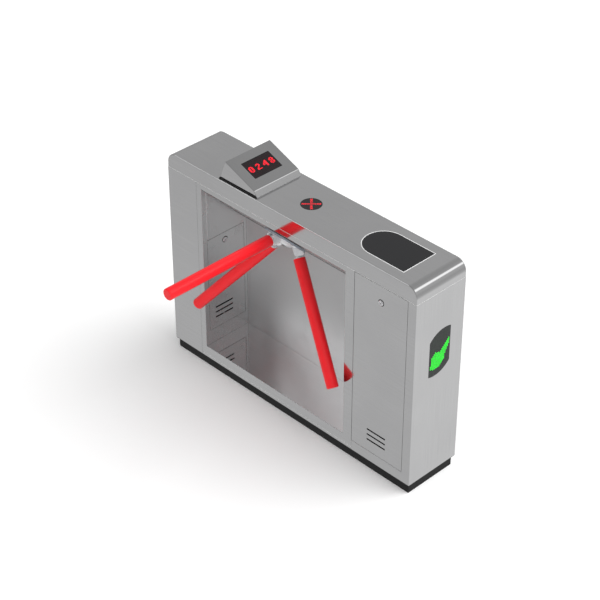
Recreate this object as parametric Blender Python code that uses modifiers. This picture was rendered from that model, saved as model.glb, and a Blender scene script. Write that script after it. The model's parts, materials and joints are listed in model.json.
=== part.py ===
"""Tripod visitor counter turnstile: a sheet-steel cabinet with a recessed bay and a three-arm rotor.

Metres, +Z up.  +X runs along the cabinet, -Y is the side that the arms block.
The origin is the centre of the cabinet's footprint, on the floor.
"""
import math

import bmesh
import bpy
from mathutils import Matrix, Vector

# ---------------------------------------------------------------- driving dimensions
LENGTH = 1.400
DEPTH = 0.275
HEIGHT = 1.000
END_RADIUS = 0.048
SHEET = 0.0015
GAP = 0.0003
SEAM = 0.0015

PLINTH_HEIGHT = 0.049
PLINTH_INSET = 0.010
PLINTH_WALL = 0.003
PLINTH_FLANGE_INSET = 0.001
BASE_THICKNESS = 0.006
COVER_LIP_Z = 0.928

RECESS_LEFT = -0.497
RECESS_RIGHT = 0.331
RECESS_FLOOR = 0.105
RECESS_TOP = 0.905
RECESS_BACK = 0.110
FRAME_LEFT = -0.527
FRAME_RIGHT = 0.379
FRAME_GROOVE_Z = 0.061

DOOR_RIGHT = 0.656
DOOR_BOTTOM = 0.098
DOOR_FOLD = 0.012
INNER_DOOR_FRONT = -0.1125
INNER_DOOR_BACK = 0.0940
INNER_DOOR_BOTTOM = 0.176
INNER_DOOR_TOP = 0.640
LOUVRE_LENGTH = 0.100
LOUVRE_HEIGHT = 0.0075
LOUVRE_PITCH = 0.0255

HUB_APEX = Vector((-0.088, -0.018, 0.849))
HUB_TILT = math.radians(135)
ARM_CONE = math.radians(45)
ARM_RADIUS = 0.025
ARM_REACH = 0.6605
ARM_ROOT = 0.1238
ARM_WALL = 0.002
PIN_DISTANCE = 0.102
SLOPE_FACE = 0.0449
SLOPE_THICKNESS = 0.002
HUB_DISC_RADIUS = 0.094
HUB_DISC_THICKNESS = 0.008
SHAFT_RADIUS = 0.015
BEARING_RADIUS = 0.031

GEAR_TEETH = 48
PINION_TEETH = 16
GEAR_MODULE = 0.002
RATCHET_NOTCHES = 12
CAM_LOBES = 3

DISPLAY_SECTION = ((-0.3955, 1.0003), (-0.174, 1.0003), (-0.192, 1.025), (-0.360, 1.090))
DISPLAY_HALF_DEPTH = 0.1238
DISPLAY_WALL = 0.002
SCREEN_NEAR = 0.043
SCREEN_FAR = 0.1335
SCREEN_HALF_WIDTH = 0.075

INDICATOR_X = 0.006
INDICATOR_RADIUS = 0.0445
CARD_ARC_X = 0.4025
CARD_END_X = 0.583
CARD_HALF_WIDTH = 0.087

LEAF_CENTRE_Y = 0.0065
LEAF_CENTRE_Z = 0.6430
LEAF_HALF_WIDTH = 0.0585
LEAF_SHORT = 0.0655
LEAF_LONG = 0.0975
LEAF_ARC_RADIUS = 0.105

HALF_L = LENGTH / 2
HALF_D = DEPTH / 2
FRONT = -HALF_D
BODY_BOTTOM = PLINTH_HEIGHT + GAP
BODY_TOP = COVER_LIP_Z - GAP
WINDOW_GAP = 0.0004
SCREW_MERGE = 0.00001

# ---------------------------------------------------------------- scene and materials
for old in list(bpy.data.objects):
    bpy.data.objects.remove(old, do_unlink=True)

PARTS = bpy.data.collections.new("visitor_counter_turnstile")
CUTTERS = bpy.data.collections.new("cutters")
for group in (PARTS, CUTTERS):
    bpy.context.scene.collection.children.link(group)

FINISHES = {
    "cabinet_steel": ((0.50, 0.50, 0.50), 1.0, 0.22),
    "polished_steel": ((0.62, 0.62, 0.63), 1.0, 0.12),
    "plinth_black": ((0.03, 0.03, 0.03), 0.0, 0.45),
    "arm_red": ((0.80, 0.02, 0.03), 0.0, 0.25),
    "hub_silver": ((0.72, 0.73, 0.75), 1.0, 0.25),
    "hub_grey": ((0.16, 0.17, 0.18), 0.8, 0.35),
    "cast_alloy": ((0.55, 0.56, 0.57), 1.0, 0.45),
    "machined_steel": ((0.60, 0.60, 0.60), 1.0, 0.30),
    "zinc_plate": ((0.66, 0.67, 0.66), 1.0, 0.35),
    "smoked_panel": ((0.03, 0.03, 0.035), 0.0, 0.08),
    "board_green": ((0.02, 0.16, 0.07), 0.0, 0.45),
    "black_plastic": ((0.02, 0.02, 0.022), 0.0, 0.40),
    "gasket_rubber": ((0.012, 0.012, 0.012), 0.0, 0.70),
    "spring_steel": ((0.35, 0.36, 0.38), 1.0, 0.30),
    "lock_chrome": ((0.80, 0.80, 0.82), 1.0, 0.10),
}


def make_material(name):
    colour, metallic, roughness = FINISHES[name]
    material = bpy.data.materials.new(name)
    material.use_nodes = True
    shader = material.node_tree.nodes["Principled BSDF"]
    shader.inputs["Base Color"].default_value = (*colour, 1.0)
    shader.inputs["Metallic"].default_value = metallic
    shader.inputs["Roughness"].default_value = roughness
    return material


# ---------------------------------------------------------------- placing
def add_empty(name, location, rotation=(0.0, 0.0, 0.0)):
    empty = bpy.data.objects.new(name, None)
    empty.location = location
    empty.rotation_euler = rotation
    PARTS.objects.link(empty)
    return empty


def axes_matrix(origin, x_axis, y_axis):
    """Frame whose local X and Y lie along the two given directions."""
    x = Vector(x_axis).normalized()
    z = x.cross(Vector(y_axis)).normalized()
    y = z.cross(x)
    turned = Matrix((x, y, z)).transposed().to_4x4()
    return Matrix.Translation(origin) @ turned


def add_object(name, mesh, finish, matrix=None, parent=None, cutter=False):
    obj = bpy.data.objects.new(name, mesh)
    (CUTTERS if cutter else PARTS).objects.link(obj)
    if parent is not None:
        obj.parent = parent
    if matrix is not None:
        obj.matrix_local = matrix
    if cutter:
        obj.hide_render = True
        obj.display_type = "WIRE"
    else:
        material = make_material(finish)
        material.name = name
        mesh.materials.append(material)
    return obj


def mesh_from(build):
    mesh = bpy.data.meshes.new("mesh")
    work = bmesh.new()
    build(work)
    bmesh.ops.recalc_face_normals(work, faces=work.faces)
    work.to_mesh(mesh)
    work.free()
    return mesh


def shift(location):
    return Matrix.Translation(Vector(location))


# ---------------------------------------------------------------- shapes
def box(name, low, high, finish="", parent=None, cutter=False, matrix=None):
    """Axis-aligned box between two corners, in its parent's frame."""
    low, high = Vector(low), Vector(high)
    size = high - low

    def build(work):
        bmesh.ops.create_cube(work, size=1.0)
        bmesh.ops.scale(work, vec=size, verts=work.verts)

    place = shift((low + high) / 2)
    if matrix is not None:
        place = matrix @ place
    return add_object(name, mesh_from(build), finish, place, parent, cutter)


def cylinder(name, radius, z_low, z_high, finish="", centre=(0.0, 0.0), parent=None,
             matrix=None, segments=32, cutter=False):
    """Cylinder along local Z between two heights."""
    def build(work):
        bmesh.ops.create_cone(work, cap_ends=True, segments=segments, radius1=radius,
                              radius2=radius, depth=z_high - z_low)

    place = shift((centre[0], centre[1], (z_low + z_high) / 2))
    if matrix is not None:
        place = matrix @ place
    obj = add_object(name, mesh_from(build), finish, place, parent, cutter)
    obj.data.shade_smooth()
    obj.data.set_sharp_from_angle(angle=math.radians(35))
    return obj


def turned(name, profile, finish, parent=None, matrix=None, segments=32):
    """Solid of revolution about local Z.  The profile runs top to bottom down its outer side."""
    def build(work):
        points = [work.verts.new((radius, 0.0, height)) for radius, height in profile]
        for first, second in zip(points, points[1:]):
            work.edges.new((first, second))
        if profile[0][0] > 0.0:
            work.edges.new((points[-1], points[0]))

    obj = add_object(name, mesh_from(build), finish, matrix, parent)
    screw = obj.modifiers.new("Turn", "SCREW")
    screw.axis = "Z"
    screw.steps = segments
    screw.render_steps = segments
    screw.use_merge_vertices = True
    screw.merge_threshold = SCREW_MERGE
    screw.use_smooth_shade = True
    return obj


def plate(name, outline, thickness, finish="", parent=None, matrix=None, cutter=False):
    """Flat outline in local XY with its thickness centred on local Z."""
    curve = bpy.data.curves.new(name, "CURVE")
    curve.dimensions = "2D"
    curve.fill_mode = "BOTH"
    curve.extrude = thickness / 2
    spline = curve.splines.new("POLY")
    spline.points.add(len(outline) - 1)
    for point, (x, y) in zip(spline.points, outline):
        point.co = (x, y, 0.0, 1.0)
    spline.use_cyclic_u = True
    return curve_solid(name, curve, finish, parent, matrix, cutter)


def curve_solid(name, curve, finish, parent, matrix, cutter=False):
    """Welded mesh of a filled or bevelled curve."""
    carrier = bpy.data.objects.new("carrier", curve)
    CUTTERS.objects.link(carrier)
    bpy.context.view_layer.update()
    evaluated = carrier.evaluated_get(bpy.context.evaluated_depsgraph_get())
    mesh = bpy.data.meshes.new_from_object(evaluated)
    bpy.data.objects.remove(carrier)
    bpy.data.curves.remove(curve)
    mesh.materials.clear()
    work = bmesh.new()
    work.from_mesh(mesh)
    bmesh.ops.remove_doubles(work, verts=work.verts, dist=0.000001)
    bmesh.ops.recalc_face_normals(work, faces=work.faces)
    work.to_mesh(mesh)
    work.free()
    return add_object(name, mesh, finish, matrix, parent, cutter)


def folded_sheet(name, path, z_low, z_high, finish):
    """Upright sheet that follows a plan path; its thickness goes to the path's left."""
    def build(work):
        points = [work.verts.new((x, y, z_low)) for x, y in path]
        edges = [work.edges.new(pair) for pair in zip(points, points[1:])]
        raised = bmesh.ops.extrude_edge_only(work, edges=edges)["geom"]
        top = [item for item in raised if isinstance(item, bmesh.types.BMVert)]
        bmesh.ops.translate(work, vec=(0.0, 0.0, z_high - z_low), verts=top)

    obj = add_object(name, mesh_from(build), finish)
    skin = obj.modifiers.new("Sheet", "SOLIDIFY")
    skin.thickness = SHEET
    skin.offset = -1.0
    skin.use_even_offset = True
    return obj


def boolean(obj, other, operation="DIFFERENCE"):
    step = obj.modifiers.new(operation.title(), "BOOLEAN")
    step.operation = operation
    step.solver = "EXACT"
    step.object = other


def cut_box(obj, low, high, parent=None, matrix=None):
    boolean(obj, box(obj.name + "_cut", low, high, parent=parent, matrix=matrix, cutter=True))


def cut_round(obj, radius, z_low, z_high, centre=(0.0, 0.0), parent=None, matrix=None, segments=32):
    cutter = cylinder(obj.name + "_bore", radius, z_low, z_high, centre=centre, parent=parent,
                      matrix=matrix, segments=segments, cutter=True)
    boolean(obj, cutter)


def soften(obj, width, segments=2, angle=35):
    edge = obj.modifiers.new("Edges", "BEVEL")
    edge.width = width
    edge.segments = segments
    edge.limit_method = "ANGLE"
    edge.angle_limit = math.radians(angle)


def arc(centre, radius, start, end, steps):
    """Points on a circle from one angle to another, in degrees, both ends included."""
    points = []
    for step in range(steps + 1):
        angle = math.radians(start + (end - start) * step / steps)
        points.append((centre[0] + radius * math.cos(angle), centre[1] + radius * math.sin(angle)))
    return points


# planes that flat outlines are drawn on
ON_END = axes_matrix((0, 0, 0), (0, 1, 0), (0, 0, 1))
ON_FRONT = axes_matrix((0, 0, 0), (1, 0, 0), (0, 0, 1))
ALONG_X = Matrix.Rotation(math.radians(90), 4, "Y")


# ---------------------------------------------------------------- base
def build_base():
    outer_x, outer_y = HALF_L - PLINTH_INSET, HALF_D - PLINTH_INSET
    inner_x, inner_y = outer_x - PLINTH_WALL, outer_y - PLINTH_WALL
    skirt = box("plinth_skirt", (-outer_x, -outer_y, 0), (outer_x, outer_y, PLINTH_HEIGHT), "plinth_black")
    flange_x, flange_y = HALF_L - PLINTH_FLANGE_INSET, HALF_D - PLINTH_FLANGE_INSET
    flange = box("skirt_flange", (-flange_x, -flange_y, PLINTH_HEIGHT - PLINTH_WALL),
                 (flange_x, flange_y, PLINTH_HEIGHT), cutter=True)
    boolean(skirt, flange, "UNION")
    cut_box(skirt, (-inner_x, -inner_y, -0.01), (inner_x, inner_y, PLINTH_HEIGHT + 0.01))

    base = box("base_plate", (GAP - inner_x, GAP - inner_y, 0),
               (inner_x - GAP, inner_y - GAP, BASE_THICKNESS), "zinc_plate")
    anchor_x, anchor_y, anchor_radius = 0.600, 0.085, 0.007
    for x in (-anchor_x, anchor_x):
        for y in (-anchor_y, anchor_y):
            cut_round(base, anchor_radius, -0.01, 0.02, centre=(x, y), segments=16)
    gland_x, gland_radius = -0.600, 0.016
    cut_round(base, gland_radius + GAP, -0.01, 0.02, centre=(gland_x, 0), segments=24)
    turned("cable_gland", [
        (0.022, 0.0200), (0.022, BASE_THICKNESS + GAP), (gland_radius, BASE_THICKNESS + GAP),
        (gland_radius, 0.0005), (0.009, 0.0005), (0.009, 0.0300), (0.015, 0.0300), (0.016, 0.0200),
    ], "black_plastic", matrix=shift((gland_x, 0, 0)), segments=24)


# ---------------------------------------------------------------- cabinet sheets
def leaf_outline(grow=0.0):
    """Pointed window shape: upright sides, and one arc above and below."""
    half, short, long = LEAF_HALF_WIDTH + grow, LEAF_SHORT + grow, LEAF_LONG + grow
    start, end = Vector((-half, short)), Vector((half, long))
    chord = end - start
    radius = LEAF_ARC_RADIUS + grow
    rise = math.sqrt(radius ** 2 - (chord.length / 2) ** 2)
    across = Vector((chord.y, -chord.x)).normalized()
    centre = (start + end) / 2 + across * rise
    first = math.degrees(math.atan2(start.y - centre.y, start.x - centre.x))
    last = math.degrees(math.atan2(end.y - centre.y, end.x - centre.x))
    top = arc(centre, radius, first, last, 10)
    return top + [(-x, -y) for x, y in top]


def build_cabinet():
    left = folded_sheet("left_leg_shell", [
        (FRAME_LEFT - GAP, -HALF_D), (-HALF_L, -HALF_D), (-HALF_L, HALF_D), (FRAME_LEFT - GAP, HALF_D),
    ][::-1], BODY_BOTTOM, BODY_TOP, "cabinet_steel")
    left.data.shade_flat()

    right = folded_sheet("right_leg_shell", [
        (FRAME_RIGHT + GAP, -HALF_D), (HALF_L, -HALF_D), (HALF_L, HALF_D), (RECESS_RIGHT + GAP, HALF_D),
    ], BODY_BOTTOM, BODY_TOP, "cabinet_steel")
    cut_box(right, (0.30, -0.20, DOOR_BOTTOM - SEAM), (DOOR_RIGHT + SEAM, -0.10, 1.10))
    window = plate("leaf_cut", leaf_outline(WINDOW_GAP), 0.03, cutter=True,
                   matrix=shift((HALF_L, LEAF_CENTRE_Y, LEAF_CENTRE_Z)) @ ON_END)
    boolean(right, window)

    box("back_panel", (FRAME_LEFT + GAP, HALF_D - SHEET, BODY_BOTTOM),
        (RECESS_RIGHT - GAP, HALF_D, BODY_TOP), "cabinet_steel")

    frame = box("recess_frame", (FRAME_LEFT + GAP, FRONT, BODY_BOTTOM),
                (FRAME_RIGHT - GAP, FRONT + SHEET, BODY_TOP), "cabinet_steel")
    cut_box(frame, (RECESS_LEFT, -0.2, RECESS_FLOOR), (RECESS_RIGHT, -0.1, RECESS_TOP))
    groove = 0.0012
    cut_box(frame, (-0.60, FRONT - 0.01, FRAME_GROOVE_Z), (0.45, FRONT + 0.0006, FRAME_GROOVE_Z + groove))


def build_recess():
    inside_front = FRONT + SHEET + GAP
    wall_back = RECESS_BACK + SHEET
    slope_sum = FRONT + RECESS_TOP
    under_slope = slope_sum - GAP * 2

    box("recess_floor", (RECESS_LEFT + GAP, inside_front, RECESS_FLOOR - SHEET),
        (RECESS_RIGHT - GAP, RECESS_BACK - GAP, RECESS_FLOOR), "polished_steel")
    box("recess_back_wall", (RECESS_LEFT + GAP, RECESS_BACK, RECESS_FLOOR - SHEET),
        (RECESS_RIGHT - GAP, wall_back, under_slope - wall_back), "polished_steel")

    side = [
        (inside_front, RECESS_FLOOR - SHEET), (wall_back, RECESS_FLOOR - SHEET),
        (wall_back, under_slope - wall_back), (inside_front, under_slope - inside_front),
    ]
    left = plate("recess_left_wall", side, SHEET, "polished_steel",
                 matrix=shift((RECESS_LEFT - SHEET / 2, 0, 0)) @ ON_END)
    cut_box(left, (-0.6, INNER_DOOR_FRONT - SEAM, INNER_DOOR_BOTTOM - SEAM),
            (-0.4, INNER_DOOR_BACK + SEAM, INNER_DOOR_TOP + SEAM))
    plate("recess_right_wall", side, SHEET, "polished_steel",
          matrix=shift((RECESS_RIGHT + SHEET / 2, 0, 0)) @ ON_END)


# ---------------------------------------------------------------- top cover and its windows
def cover_section(inset):
    """Outline of the cover in XZ, round at both ends."""
    half, top, radius = HALF_L - inset, HEIGHT - inset, END_RADIUS - inset
    corner_z = HEIGHT - END_RADIUS
    left = arc((half - END_RADIUS + inset, corner_z), radius, 0, 90, 8)
    right = [(-x, z) for x, z in reversed(left)]
    floor_z = COVER_LIP_Z - (0.02 if inset else 0.0)
    return [(half, floor_z)] + left + right + [(-half, floor_z)]


def card_outline(grow=0.0):
    """D shape: a half circle towards -X and a square end towards +X."""
    radius = CARD_HALF_WIDTH + grow
    return arc((CARD_ARC_X, 0.0), radius, 90, 270, 16) + [
        (CARD_END_X + grow, -radius), (CARD_END_X + grow, radius),
    ]


def build_cover():
    cover = plate("top_cover", cover_section(0.0), DEPTH, "cabinet_steel", matrix=ON_FRONT)
    inside = plate("cover_inside", cover_section(SHEET), DEPTH - 2 * SHEET, matrix=ON_FRONT, cutter=True)
    boolean(cover, inside)
    cut_box(cover, (-0.375, -0.105, 0.95), (-0.200, 0.105, 1.05))
    cut_round(cover, INDICATOR_RADIUS, 0.95, 1.05, centre=(INDICATOR_X, 0), segments=40)
    window = plate("card_cut", card_outline(), 0.05, cutter=True, matrix=shift((0, 0, HEIGHT)))
    boolean(cover, window)


def build_top_windows():
    low, high = HEIGHT - 0.0030, HEIGHT + 0.0008
    cylinder("indicator_window", INDICATOR_RADIUS - WINDOW_GAP, low, high, "smoked_panel",
             centre=(INDICATOR_X, 0), segments=40)
    cylinder("indicator_board", 0.041, low - 0.0075, low - 0.0060, "board_green",
             centre=(INDICATOR_X, 0), segments=24)
    card = plate("card_window", card_outline(-WINDOW_GAP), high - low, "smoked_panel",
                 matrix=shift((0, 0, (high + low) / 2)))
    soften(card, 0.0004, 1)
    reader = box("card_reader_module", (0.405, -0.055, 0.955), (0.545, 0.055, 0.985), "black_plastic")
    soften(reader, 0.003)


# ---------------------------------------------------------------- display on the top
def display_face():
    """Frame on the display's sloped face: X up the slope's fall, Y to the back."""
    near, far = Vector((-0.360, 0, 1.090)), Vector((-0.192, 0, 1.025))
    return axes_matrix(near, far - near, (0, 1, 0))


def build_display():
    housing = plate("display_housing", DISPLAY_SECTION, 2 * DISPLAY_HALF_DEPTH, "cabinet_steel",
                    matrix=ON_FRONT)
    soften(housing, 0.0015)
    wall = DISPLAY_WALL
    (back_x, foot), (front_x, _), (low_x, low_z), (high_x, high_z) = DISPLAY_SECTION
    inner = (
        (back_x + 2.2 * wall, foot - 0.01), (front_x - 1.6 * wall, foot - 0.01),
        (low_x - wall, low_z - wall), (high_x + wall, high_z - 1.3 * wall),
    )
    hollow = plate("display_hollow", inner, 2 * (DISPLAY_HALF_DEPTH - wall), matrix=ON_FRONT, cutter=True)
    boolean(housing, hollow)
    face = display_face()
    gap = WINDOW_GAP
    cut_box(housing, (SCREEN_NEAR, -SCREEN_HALF_WIDTH, -0.006), (SCREEN_FAR, SCREEN_HALF_WIDTH, 0.006),
            matrix=face)
    box("display_window", (SCREEN_NEAR + gap, gap - SCREEN_HALF_WIDTH, -0.0024),
        (SCREEN_FAR - gap, SCREEN_HALF_WIDTH - gap, -0.0002), "smoked_panel", matrix=face)
    box("display_board", (SCREEN_NEAR - 0.004, -0.080, -0.0100), (SCREEN_FAR + 0.004, 0.080, -0.0084),
        "board_green", matrix=face)
    box("display_gasket", (back_x + 0.002, -0.1290, foot), (front_x - 0.004, -DISPLAY_HALF_DEPTH - GAP, 1.0045),
        "gasket_rubber")


# ---------------------------------------------------------------- arrow indicator in the end
def build_end_indicator():
    place = shift((HALF_L - 0.0012, LEAF_CENTRE_Y, LEAF_CENTRE_Z)) @ ON_END
    plate("arrow_window", leaf_outline(), 0.0030, "smoked_panel", matrix=place)
    box("arrow_board", (HALF_L - 0.0110, LEAF_CENTRE_Y - 0.052, LEAF_CENTRE_Z - 0.062),
        (HALF_L - 0.0095, LEAF_CENTRE_Y + 0.052, LEAF_CENTRE_Z + 0.062), "board_green")


# ---------------------------------------------------------------- service doors
def tray_door(name, width, height, finish, parent, matrix):
    """Pressed tray: face sheet in local XY at Z=0, folded edges towards -Z, foot edge at Y=0."""
    door = box(name, (-width / 2, 0, -DOOR_FOLD), (width / 2, height, 0), finish, parent, matrix=matrix)
    cut_box(door, (SHEET - width / 2, SHEET, -0.05), (width / 2 - SHEET, height - SHEET, -SHEET),
            parent=parent, matrix=matrix)
    return door


def cut_louvres(door, centre, first, parent, matrix):
    for row in range(3):
        low = first + row * LOUVRE_PITCH
        cut_box(door, (centre - LOUVRE_LENGTH / 2, low - LOUVRE_HEIGHT / 2, -0.02),
                (centre + LOUVRE_LENGTH / 2, low + LOUVRE_HEIGHT / 2, 0.02), parent=parent, matrix=matrix)


def cam_lock(name, side, height, door, parent, matrix):
    """Quarter-turn lock: fixed body in the door, and a plug with its cam behind."""
    body_radius, plug_radius, flange_radius = 0.0095, 0.0065, 0.0125
    place = matrix @ shift((side, height, 0))
    cut_round(door, body_radius + GAP, -0.02, 0.02, parent=parent, matrix=place, segments=24)
    turned(name + "_body", [
        (plug_radius + GAP, 0.0020), (flange_radius, 0.0020), (flange_radius, GAP), (body_radius, GAP),
        (body_radius, -0.0160), (plug_radius + GAP, -0.0160),
    ], "lock_chrome", parent, place, 24)
    plug = cylinder(name + "_plug", plug_radius, -0.0190, 0.0030, "lock_chrome", parent=parent,
                    matrix=place, segments=24)
    cut_box(plug, (-0.0035, -0.0007, 0.0010), (0.0035, 0.0007, 0.0040), parent=parent, matrix=place)
    tongue = box(name + "_tongue", (-0.008, -0.008, -0.0190), (0.030, 0.008, -0.0165), parent=parent,
                 matrix=place, cutter=True)
    boolean(plug, tongue, "UNION")


def build_doors():
    front_left, front_right = FRAME_RIGHT + SEAM, DOOR_RIGHT
    width = front_right - front_left
    hinge = add_empty("front_door_tilt", ((front_left + front_right) / 2, FRONT, DOOR_BOTTOM))
    place = axes_matrix((0, 0, 0), (1, 0, 0), (0, 0, 1))
    height = BODY_TOP - SEAM - DOOR_BOTTOM
    door = tray_door("front_service_door", width, height, "cabinet_steel", hinge, place)
    cut_louvres(door, -0.0035, 0.0570, hinge, place)
    cam_lock("front_lock", 0.0025, 0.852 - DOOR_BOTTOM, door, hinge, place)

    depth = INNER_DOOR_BACK - INNER_DOOR_FRONT
    middle = (INNER_DOOR_BACK + INNER_DOOR_FRONT) / 2
    inner = add_empty("inner_door_tilt", (RECESS_LEFT, middle, INNER_DOOR_BOTTOM))
    across = axes_matrix((0, 0, 0), (0, 1, 0), (0, 0, 1))
    inner_height = INNER_DOOR_TOP - INNER_DOOR_BOTTOM
    panel = tray_door("inner_service_door", depth, inner_height, "polished_steel", inner, across)
    cut_louvres(panel, -0.0190, 0.0540, inner, across)
    cam_lock("inner_lock", -0.0045, 0.604 - INNER_DOOR_BOTTOM, panel, inner, across)


# ---------------------------------------------------------------- electrics in the legs
def build_electrics():
    supply = box("power_supply", (0.400, 0.060, 0.130), (0.600, 0.128, 0.240), "zinc_plate")
    soften(supply, 0.0015, 1)
    board = box("control_board", (-0.6550, -0.090, 0.500), (-0.6530, 0.090, 0.780), "board_green")
    for row in range(4):
        low = 0.520 + row * 0.065
        block = box("board_part", (-0.6535, -0.070, low), (-0.6360, 0.070 - 0.03 * (row % 2), low + 0.030),
                    cutter=True)
        boolean(board, block, "UNION")


# ---------------------------------------------------------------- drive mechanism, on the tilted axis
def ring(name, outer, inner, z_low, z_high, finish, parent, segments=32):
    return turned(name, [(inner, z_high), (outer, z_high), (outer, z_low), (inner, z_low)],
                  finish, parent, segments=segments)


def toothed_outline(teeth, pitch_radius, module):
    """Straight-flanked teeth, thin enough to run clear of a mate."""
    tip, root = pitch_radius + 0.75 * module, pitch_radius - 1.15 * module
    pitch = 2 * math.pi / teeth
    flanks = ((-0.30, root), (-0.13, tip), (0.13, tip), (0.30, root))
    points = []
    for tooth in range(teeth):
        for part, radius in flanks:
            angle = (tooth + part) * pitch
            points.append((radius * math.cos(angle), radius * math.sin(angle)))
    return points


def notched_outline(notches, radius, depth, half_notch):
    """Disc edge with square-bottomed notches; one notch lies on +X."""
    points = []
    step = 2 * math.pi / notches
    for notch in range(notches):
        middle = notch * step
        narrow = half_notch * 0.8
        marks = ((-half_notch, radius), (-narrow, radius - depth), (narrow, radius - depth),
                 (half_notch, radius), (step / 2, radius))
        for offset, reach in marks:
            points.append((reach * math.cos(middle + offset), reach * math.sin(middle + offset)))
    return points


def lobed_outline(lobes, mean, swing, steps):
    points = []
    for step in range(steps):
        angle = 2 * math.pi * step / steps
        radius = mean - swing * math.cos(lobes * (angle - math.pi))
        points.append((radius * math.cos(angle), radius * math.sin(angle)))
    return points


def bar_outline(start, end, half_width, steps=5):
    """Flat bar with round ends."""
    start, end = Vector(start), Vector(end)
    heading = math.degrees(math.atan2(end.y - start.y, end.x - start.x))
    return (arc(start, half_width, heading + 90, heading + 270, steps)
            + arc(end, half_width, heading - 90, heading + 90, steps))


def shaft_wheel(name, outline, z_low, z_high, finish, parent):
    wheel = plate(name, outline, z_high - z_low, finish, parent, shift((0, 0, (z_low + z_high) / 2)))
    cut_round(wheel, SHAFT_RADIUS + GAP, z_low - 0.01, z_high + 0.01, parent=parent)
    return wheel


CHASSIS_TOP = SLOPE_FACE - SLOPE_THICKNESS - GAP
CHASSIS_LOW = CHASSIS_TOP - 0.010
BRIDGE_TOP = -0.070
BRIDGE_LOW = -0.078
STANDOFF_X = 0.085
STANDOFF_Y = 0.075


def build_hub_plate(axis):
    """Sheet that closes the bay's top at 45 degrees and carries the mechanism."""
    slope_sum = FRONT + RECESS_TOP
    inside_front = FRONT + SHEET + GAP
    front_edge = Vector((0, inside_front, slope_sum - inside_front)) - HUB_APEX
    back_edge = Vector((0, RECESS_BACK + SHEET, slope_sum - RECESS_BACK - SHEET)) - HUB_APEX
    up_slope = Vector((0, -math.sqrt(0.5), math.sqrt(0.5)))
    high, low = front_edge.dot(up_slope) - SLOPE_THICKNESS, back_edge.dot(up_slope)
    sheet = box("hub_plate", (RECESS_LEFT + GAP - HUB_APEX.x, low, SLOPE_FACE - SLOPE_THICKNESS),
                (RECESS_RIGHT - GAP - HUB_APEX.x, high, SLOPE_FACE), "polished_steel", axis)
    cut_round(sheet, BEARING_RADIUS + 0.004, 0.0, 0.1, parent=axis)


def build_fixed_mechanism(axis):
    chassis = box("mechanism_chassis", (-0.135, -0.100, CHASSIS_LOW), (0.135, 0.100, CHASSIS_TOP),
                  "cast_alloy", axis)
    soften(chassis, 0.004, 2)
    cut_round(chassis, BEARING_RADIUS + GAP, 0.0, 0.1, parent=axis)
    ring("front_bearing", BEARING_RADIUS, SHAFT_RADIUS + GAP, CHASSIS_LOW + 0.001, CHASSIS_TOP - 0.001,
         "machined_steel", axis)

    bridge = box("rear_bearing_bridge", (-0.095, -0.085, BRIDGE_LOW), (0.095, 0.085, BRIDGE_TOP),
                 "cast_alloy", axis)
    soften(bridge, 0.004, 2)
    cut_round(bridge, BEARING_RADIUS + GAP, -0.1, 0.0, parent=axis)
    for x in (-STANDOFF_X, STANDOFF_X):
        for y in (-STANDOFF_Y, STANDOFF_Y):
            post = cylinder("standoff", 0.007, BRIDGE_TOP - 0.004, CHASSIS_LOW - GAP, centre=(x, y),
                            parent=axis, segments=16, cutter=True)
            boolean(bridge, post, "UNION")
    ring("rear_bearing", BEARING_RADIUS, SHAFT_RADIUS + GAP, BRIDGE_LOW + 0.0005, BRIDGE_TOP - 0.0005,
         "machined_steel", axis)

    cylinder("rotary_damper", 0.020, BRIDGE_TOP + GAP, -0.0490, "black_plastic", centre=(0.0642, 0),
             parent=axis, segments=24)
    sensor = box("optical_sensor", (-0.012, -0.052, -0.1000), (0.012, -0.030, BRIDGE_LOW - GAP),
                 "black_plastic", axis)
    cut_box(sensor, (-0.02, -0.042, -0.0945), (0.02, -0.02, -0.0880), parent=axis)
    return chassis


def build_follower(axis):
    """Roller lever that seats the rotor every third of a turn."""
    pivot, roller, tail = (-0.080, 0.048), (-0.0662, 0.0), (-0.0662, -0.043)
    lever = plate("cam_follower_lever", bar_outline(pivot, tail, 0.006), 0.005, "machined_steel", axis,
                  shift((0, 0, 0.0245)))
    boss = cylinder("follower_boss", 0.005, 0.0250, CHASSIS_LOW - GAP, centre=pivot, parent=axis,
                    segments=16, cutter=True)
    boolean(lever, boss, "UNION")
    cylinder("cam_follower_roller", 0.0095, 0.0070, 0.0217, "machined_steel", centre=roller,
             parent=axis, segments=20)

    turns, wire, coil_radius = 7, 0.0008, 0.0042
    start, end = Vector((-0.0775, -0.046, 0.0245)), Vector((-0.112, -0.046, 0.0245))
    spring = bpy.data.curves.new("spring", "CURVE")
    spring.dimensions = "3D"
    spring.bevel_depth = wire
    spring.bevel_resolution = 2
    spring.use_fill_caps = True
    line = spring.splines.new("POLY")
    per_turn = 10
    count = turns * per_turn
    line.points.add(count)
    for step, point in enumerate(line.points):
        turn = 2 * math.pi * step / per_turn
        along = start.lerp(end, step / count)
        point.co = (along.x, along.y + coil_radius * math.cos(turn), along.z + coil_radius * math.sin(turn), 1)
    curve_solid("centring_spring", spring, "spring_steel", axis, None)


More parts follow.
